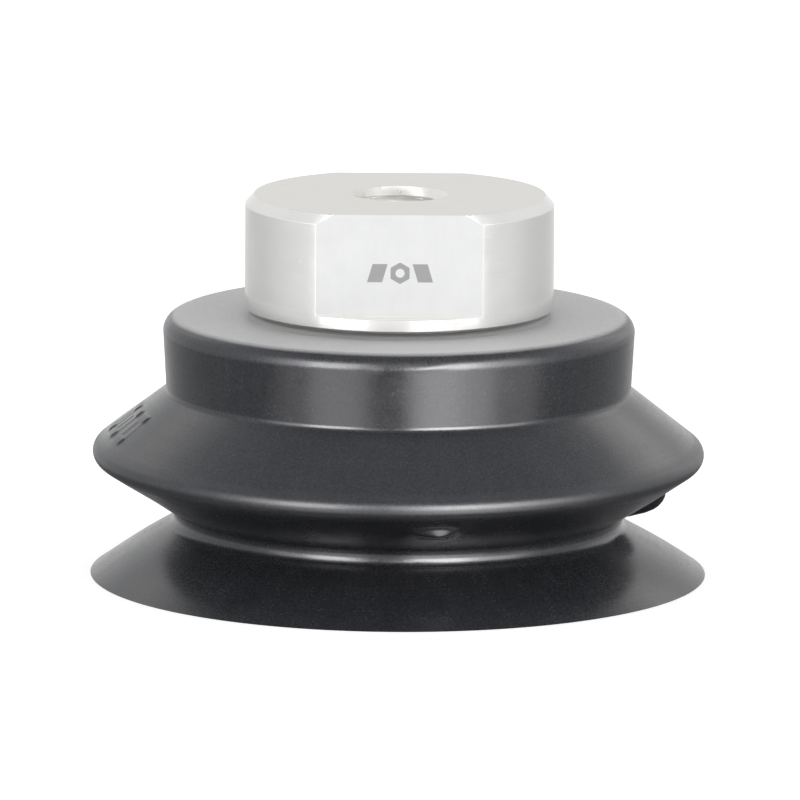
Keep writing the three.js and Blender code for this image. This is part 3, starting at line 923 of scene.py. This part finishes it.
screen_v, screen_f = [], []
pitch, wr, zc, rim = 0.62, 0.115, PLATE_Z + 1.30, FILTER_R - 0.28
count = int(rim // pitch)
for direction in (0, 1):
    for k in range(-count, count + 1):
        off = k * pitch
        half = math.sqrt(max(0.0, rim * rim - off * off)) - 0.02
        if half < 0.6:
            continue
        s = np.linspace(-half, half, max(6, int(2 * half / (pitch / 4))))
        sign = (-1) ** (k + direction)
        zz = zc + sign * wr * 1.02 * np.cos(math.pi * s / pitch)
        pts = np.stack([s, np.full_like(s, off), zz], 1) if direction == 0 else np.stack([np.full_like(s, off), s, zz], 1)
        v, f = wire(pts, wr)
        base = sum(len(q) for q in screen_v)
        screen_v.append(v)
        screen_f += [[i + base for i in q] for q in f]
frame_ring_v, frame_ring_f = lathe_arrays(
    closed_fillets([(rim - 0.12, PLATE_Z + 1.06, 0.05), (FILTER_R - 0.2, PLATE_Z + 1.06, 0.05), (FILTER_R - 0.2, PLATE_Z + 1.54, 0.05), (rim - 0.12, PLATE_Z + 1.54, 0.05)], 30.0),
    angles(96),
)
base = sum(len(q) for q in screen_v)
screen_v.append(frame_ring_v)
screen_f += [[int(i) + base for i in q] for q in frame_ring_f]
screen = bpy.data.objects.new("filter_screen_woven", bpy.data.meshes.new("filter_screen_woven"))
screen.data.from_pydata((np.concatenate(screen_v) * MM).tolist(), [], screen_f)
bpy.context.scene.collection.objects.link(screen)
smooth(screen, 40.0)
screen.data.materials.append(MESHWIRE)
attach(screen, "head")
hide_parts("filter_screen")

# snap ring with a gap cut in it
ring_o = lathe(
    "filter_retaining_ring_fine",
    closed_fillets(
        [(GROOVE_R - 1.45, PLATE_Z + 0.3, 0.08), (GROOVE_R - 0.15, PLATE_Z + 0.3, 0.08), (GROOVE_R - 0.15, PLATE_Z + 0.9, 0.08), (GROOVE_R - 1.45, PLATE_Z + 0.9, 0.08)],
        30.0,
    ),
    angles(144),
    None,
    35.0,
)
cut(ring_o, [prism([(-1.3, 5), (1.3, 5), (1.3, 12), (-1.3, 12)], PLATE_Z - 1, PLATE_Z + 2)])
smooth(ring_o, 35.0)
ring_o.data.materials.append(SPRING)
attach(ring_o, "head")
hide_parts("filter_retaining_ring")

# ------------------------------------------------------------------ floor
floor_mesh = bpy.data.meshes.new("floor")
S = 60.0
floor_mesh.from_pydata([(-S, -S, 0), (S, -S, 0), (S, S, 0), (-S, S, 0)], [], [(0, 1, 2, 3)])
floor = bpy.data.objects.new("floor", floor_mesh)
floor.location.z = -0.00002
bpy.context.scene.collection.objects.link(floor)
fm = bpy.data.materials.new("floor_white")
fm.use_nodes = True
nt = fm.node_tree
nt.nodes.clear()
out = nt.nodes.new("ShaderNodeOutputMaterial")
add = nt.nodes.new("ShaderNodeAddShader")
em = nt.nodes.new("ShaderNodeEmission")
em.inputs[0].default_value = (1, 1, 1, 1)
em.inputs[1].default_value = 0.62
df = nt.nodes.new("ShaderNodeBsdfDiffuse")
df.inputs[0].default_value = (0.75, 0.75, 0.75, 1)
nt.links.new(em.outputs[0], add.inputs[0])
nt.links.new(df.outputs[0], add.inputs[1])
nt.links.new(add.outputs[0], out.inputs[0])
floor.data.materials.append(fm)
floor.visible_glossy = False
floor.visible_diffuse = False
floor.visible_shadow = False
# it gives way under a tilted lip, so it never cuts through the rubber
floor_drop = floor.driver_add("location", 2).driver
floor_drop.type = "MIN"
for name, px in (("floor_level", 0.0), ("lip_edge_left", -LIP[0] * MM), ("lip_edge_right", LIP[0] * MM)):
    mark = bpy.data.objects.new(name, None)
    mark.location = (px, 0.0, -0.00002)
    bpy.context.scene.collection.objects.link(mark)
    if px:
        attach(mark, "lip")
    dv = floor_drop.variables.new()
    dv.name, dv.type = name, "TRANSFORMS"
    dv.targets[0].id, dv.targets[0].transform_type, dv.targets[0].transform_space = mark, "LOC_Z", "WORLD_SPACE"

# ------------------------------------------------------------------ studio light: a wrapped white set with two upright panels beside the camera
world = bpy.data.worlds.new("studio")
bpy.context.scene.world = world
world.use_nodes = True
nt = world.node_tree
nt.nodes.clear()
tc = nt.nodes.new("ShaderNodeTexCoord")
nv = nt.nodes.new("ShaderNodeVectorMath")
nv.operation = "NORMALIZE"
mp = nt.nodes.new("ShaderNodeMapping")
mp.vector_type = "TEXTURE"
world_turn = mp.inputs["Rotation"]
nt.links.new(tc.outputs["Generated"], mp.inputs["Vector"])
nt.links.new(mp.outputs["Vector"], nv.inputs[0])
sp = nt.nodes.new("ShaderNodeSeparateXYZ")
nt.links.new(nv.outputs[0], sp.inputs[0])
wx, wy, wz = Ex(nt, sp.outputs[0]), Ex(nt, sp.outputs[1]), Ex(nt, sp.outputs[2])
az = wx.atan2(-wy) * (180 / math.pi)  # 0 towards the camera, positive to its right-hand side in the picture
facing = -wy
sides = mix(nt, facing.ramp(0.45, 0.88), 1.12, 0.30)
sides = sides - facing.ramp(0.15, -0.75) * 0.30 + facing.ramp(-0.82, -0.99) * 0.18
zenith = mix(nt, wz.ramp(0.62, 0.92), 1.0, 0.68)
below = mix(nt, wz.ramp(-0.08, -0.34), 1.0, 0.27)
light = sides * zenith * below
lp = nt.nodes.new("ShaderNodeLightPath")
bg = nt.nodes.new("ShaderNodeBackground")
bg.inputs[0].default_value = (1.0, 1.0, 1.0, 1)
nt.links.new(light.s, bg.inputs[1])
white = nt.nodes.new("ShaderNodeBackground")
white.inputs[0].default_value = (1, 1, 1, 1)
white.inputs[1].default_value = 1.3
ms = nt.nodes.new("ShaderNodeMixShader")
nt.links.new(lp.outputs["Is Camera Ray"], ms.inputs[0])
nt.links.new(bg.outputs[0], ms.inputs[1])
nt.links.new(white.outputs[0], ms.inputs[2])
wo = nt.nodes.new("ShaderNodeOutputWorld")
nt.links.new(ms.outputs[0], wo.inputs[0])
try:
    world.cycles.sampling_method = "MANUAL"
    world.cycles.sample_map_resolution = 1024
except Exception:
    pass

rubber_only = bpy.data.collections.new("panels_for_rubber")
metal_only = bpy.data.collections.new("panels_for_metal")
for o in (upper, middle, lower):
    rubber_only.objects.link(o)
for o in (head, plate, ring_o, screen):
    metal_only.objects.link(o)


# the lights and the set keep their place beside the camera, as for a part on a turntable
rig = bpy.data.objects.new("light_rig", None)
rig.location = (0, 0, 0.03)
bpy.context.scene.collection.objects.link(rig)


def panel(name, az0, az1, el0, el1, radiance, receivers, diffuse=False, dist=2.0):
    """A soft box seen from the cup between two azimuths (from the camera's direction) and two elevations."""
    data = bpy.data.lights.new(name, "AREA")
    data.shape = "RECTANGLE"
    azc, elc = math.radians((az0 + az1) / 2), math.radians((el0 + el1) / 2)
    data.size = 2 * dist * math.tan(math.radians(az1 - az0) / 2)
    data.size_y = 2 * dist * math.tan(math.radians(el1 - el0) / 2)
    data.energy = radiance * math.pi * data.size * data.size_y
    data.color = (1.0, 0.950, 0.900) if receivers is rubber_only else (1.0, 1.0, 1.0)
    o = bpy.data.objects.new(name, data)
    d = Vector((math.sin(azc) * math.cos(elc), -math.cos(azc) * math.cos(elc), math.sin(elc)))
    o.parent = rig
    o.location = d * dist
    o.rotation_mode = "QUATERNION"
    o.rotation_quaternion = d.to_track_quat("Z", "Y")
    bpy.context.scene.collection.objects.link(o)
    o.visible_camera = False
    o.visible_diffuse = diffuse
    o.light_linking.receiver_collection = receivers
    return o


panel("right_wide", 5.0, 48.0, -42.0, 44.0, 4.4, rubber_only)
panel("right_low", 8.0, 30.0, -42.0, 2.0, 2.2, rubber_only)
panel("right_side", 48.0, 72.0, -42.0, 44.0, 1.5, rubber_only)
panel("right_core", 9.0, 37.0, 0.0, 35.0, 17.5, rubber_only)
panel("right_mid", 37.0, 64.0, 0.0, 36.0, 3.8, rubber_only)
panel("left_wide", -44.0, -15.0, -42.0, 44.0, 3.5, rubber_only)
panel("left_side", -62.0, -44.0, -42.0, 44.0, 1.0, rubber_only)
panel("left_core", -45.0, -21.0, 0.0, 34.0, 13.0, rubber_only)
panel("left_mid", -66.0, -45.0, 0.0, 36.0, 2.2, rubber_only)
panel("centre_low", -14.0, 4.0, -42.0, -6.0, 0.75, rubber_only)
panel("back_left", -150.0, -112.0, 18.0, 40.0, 0.15, rubber_only)
panel("back_right", 112.0, 150.0, 4.0, 38.0, 0.55, rubber_only)
panel("band_left", -147.0, -135.0, 26.0, 46.0, 0.45, rubber_only)
panel("band_right", 136.0, 148.0, 22.0, 42.0, 0.6, rubber_only)
panel("metal_zenith", -60.0, 60.0, 64.0, 88.0, 1.7, metal_only)
panel("metal_front", -62.0, 62.0, -45.0, 40.0, 0.90, metal_only)
panel("metal_right", 10.0, 30.0, -50.0, 30.0, 0.65, metal_only)
panel("metal_left", -54.0, -24.0, -50.0, 30.0, 0.6, metal_only)
panel("metal_low_right", 60.0, 150.0, -66.0, -18.0, 0.9, metal_only)
panel("metal_low_left", -150.0, -60.0, -60.0, -18.0, 1.0, metal_only)
panel("metal_rim_left", -178.0, -140.0, -50.0, -14.0, 2.1, metal_only)
panel("metal_rim_right", 140.0, 178.0, -50.0, -14.0, 1.8, metal_only)
panel("metal_back_left", -152.0, -126.0, 14.0, 44.0, 0.14, metal_only)
panel("metal_back_right", 126.0, 152.0, 14.0, 44.0, 0.14, metal_only)

# ------------------------------------------------------------------ camera
cam_data = bpy.data.cameras.new("camera")
cam_data.sensor_width = 36.0
cam_data.lens = 540.0
cam_data.clip_start, cam_data.clip_end = 0.05, 200.0
cam = bpy.data.objects.new("camera", cam_data)
bpy.context.scene.collection.objects.link(cam)
elev = math.radians(10.3)
target = Vector((0.00020, 0.0, 0.0255))
back = Vector((0.0, -math.cos(elev), math.sin(elev)))
cam.location = target + back * 1.7508
cam.rotation_mode = "QUATERNION"
cam.rotation_quaternion = (-back).to_track_quat("-Z", "Y") @ Quaternion((0, 0, 1), 0.006)
bpy.context.scene.camera = cam
follow = rig.constraints.new("LOCKED_TRACK")
follow.target, follow.track_axis, follow.lock_axis = cam, "TRACK_NEGATIVE_Y", "LOCK_Z"
turn = world_turn.driver_add("default_value", 2).driver
turn.type = "AVERAGE"
var = turn.variables.new()
var.name, var.type = "turn", "TRANSFORMS"
var.targets[0].id, var.targets[0].transform_type, var.targets[0].transform_space = rig, "ROT_Z", "WORLD_SPACE"

scene = bpy.context.scene
scene.view_settings.view_transform = "Standard"
scene.view_settings.look = "None"
scene.view_settings.exposure = 0.0
scene.view_settings.gamma = 1.0
